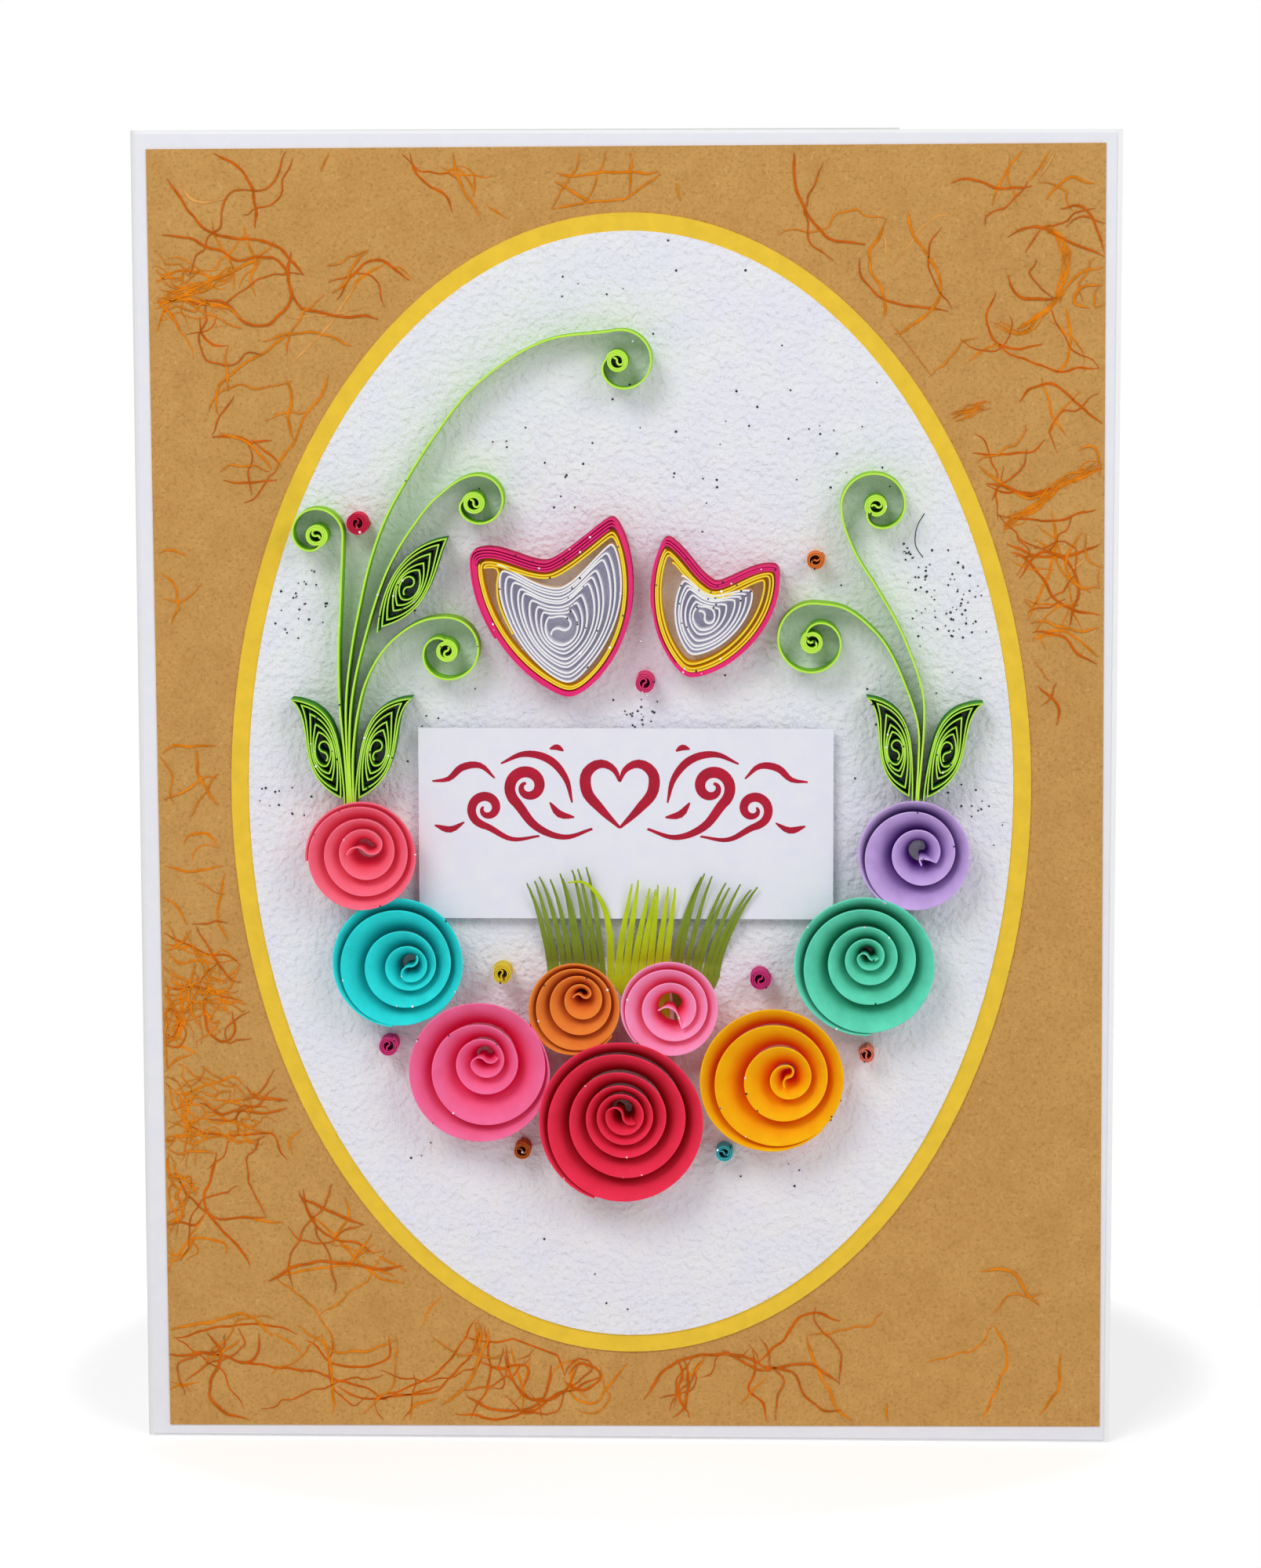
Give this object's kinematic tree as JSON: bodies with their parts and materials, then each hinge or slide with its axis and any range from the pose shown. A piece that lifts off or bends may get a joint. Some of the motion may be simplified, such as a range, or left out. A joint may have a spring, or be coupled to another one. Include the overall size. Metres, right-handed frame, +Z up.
{
  "type": "quilled paper card",
  "caption": "Folded card standing open, its front covered with quilled paper strips: flaring spiral roses, pinched leaves, curled stems, tulips and fringed grass round a blank label",
  "frame": {"origin": "middle of the overall box, on the plane the open card stands on", "axes": "+Z up along the card's height, the decorated leaf faces -Y, the fold is at -X"},
  "size_m": [0.148, 0.1008, 0.2],
  "materials": {
    "backing_panel": "matte coloured paper",
    "card": "matte coloured paper",
    "dot_brown": "matte coloured paper",
    "dot_coral": "matte coloured paper",
    "dot_crimson": "matte coloured paper",
    "dot_hot_pink": "matte coloured paper",
    "dot_magenta_left": "matte coloured paper",
    "dot_magenta_right": "matte coloured paper",
    "dot_orange": "matte coloured paper",
    "dot_teal": "matte coloured paper",
    "dot_yellow": "matte coloured paper",
    "grass_left": "matte coloured paper",
    "grass_middle": "matte coloured paper",
    "grass_right": "matte coloured paper",
    "kraft_sheet": "handmade paper with fibres",
    "leaf": "matte coloured paper",
    "plaque": "matte coloured paper",
    "plaque_pads": "white foam",
    "rose_amber": "matte coloured paper",
    "rose_brown": "matte coloured paper",
    "rose_coral": "matte coloured paper",
    "rose_crimson": "matte coloured paper",
    "rose_mint": "matte coloured paper",
    "rose_pink_large": "matte coloured paper",
    "rose_pink_small": "matte coloured paper",
    "rose_purple": "matte coloured paper",
    "rose_turquoise": "matte coloured paper",
    "stem": "matte coloured paper",
    "tulip_pink": "matte coloured paper",
    "tulip_yellow": "matte coloured paper",
    "tulip_white": "matte coloured paper",
    "white_oval": "embossed watercolour paper",
    "yellow_oval": "matte coloured paper"
  },
  "bodies": {
    "root": {"backing_panel": "backing_panel", "card": "card", "dot_brown": "dot_brown", "dot_coral": "dot_coral", "dot_crimson": "dot_crimson", "dot_hot_pink": "dot_hot_pink", "dot_magenta_left": "dot_magenta_left", "dot_magenta_right": "dot_magenta_right", "dot_orange": "dot_orange", "dot_teal": "dot_teal", "dot_yellow": "dot_yellow", "grass_left": "grass_left", "grass_middle": "grass_middle", "grass_right": "grass_right", "kraft_sheet": "kraft_sheet", "leaf_left_inner": "leaf", "leaf_left_outer": "leaf", "leaf_left_upper": "leaf", "leaf_right_inner": "leaf", "leaf_right_outer": "leaf", "plaque": "plaque", "plaque_pads": "plaque_pads", "rose_amber": "rose_amber", "rose_brown": "rose_brown", "rose_coral": "rose_coral", "rose_crimson": "rose_crimson", "rose_mint": "rose_mint", "rose_pink_large": "rose_pink_large", "rose_pink_small": "rose_pink_small", "rose_purple": "rose_purple", "rose_turquoise": "rose_turquoise", "stem_left_inner": "stem", "stem_left_middle": "stem", "stem_left_outer": "stem", "stem_left_tall": "stem", "stem_right_inner": "stem", "stem_right_tall": "stem", "tulip_large_band_pink": "tulip_pink", "tulip_large_band_yellow": "tulip_yellow", "tulip_large_coil_white": "tulip_white", "tulip_small_band_pink": "tulip_pink", "tulip_small_band_yellow": "tulip_yellow", "tulip_small_coil_white": "tulip_white", "white_oval": "white_oval", "yellow_oval": "yellow_oval"}
  },
  "joints": []
}
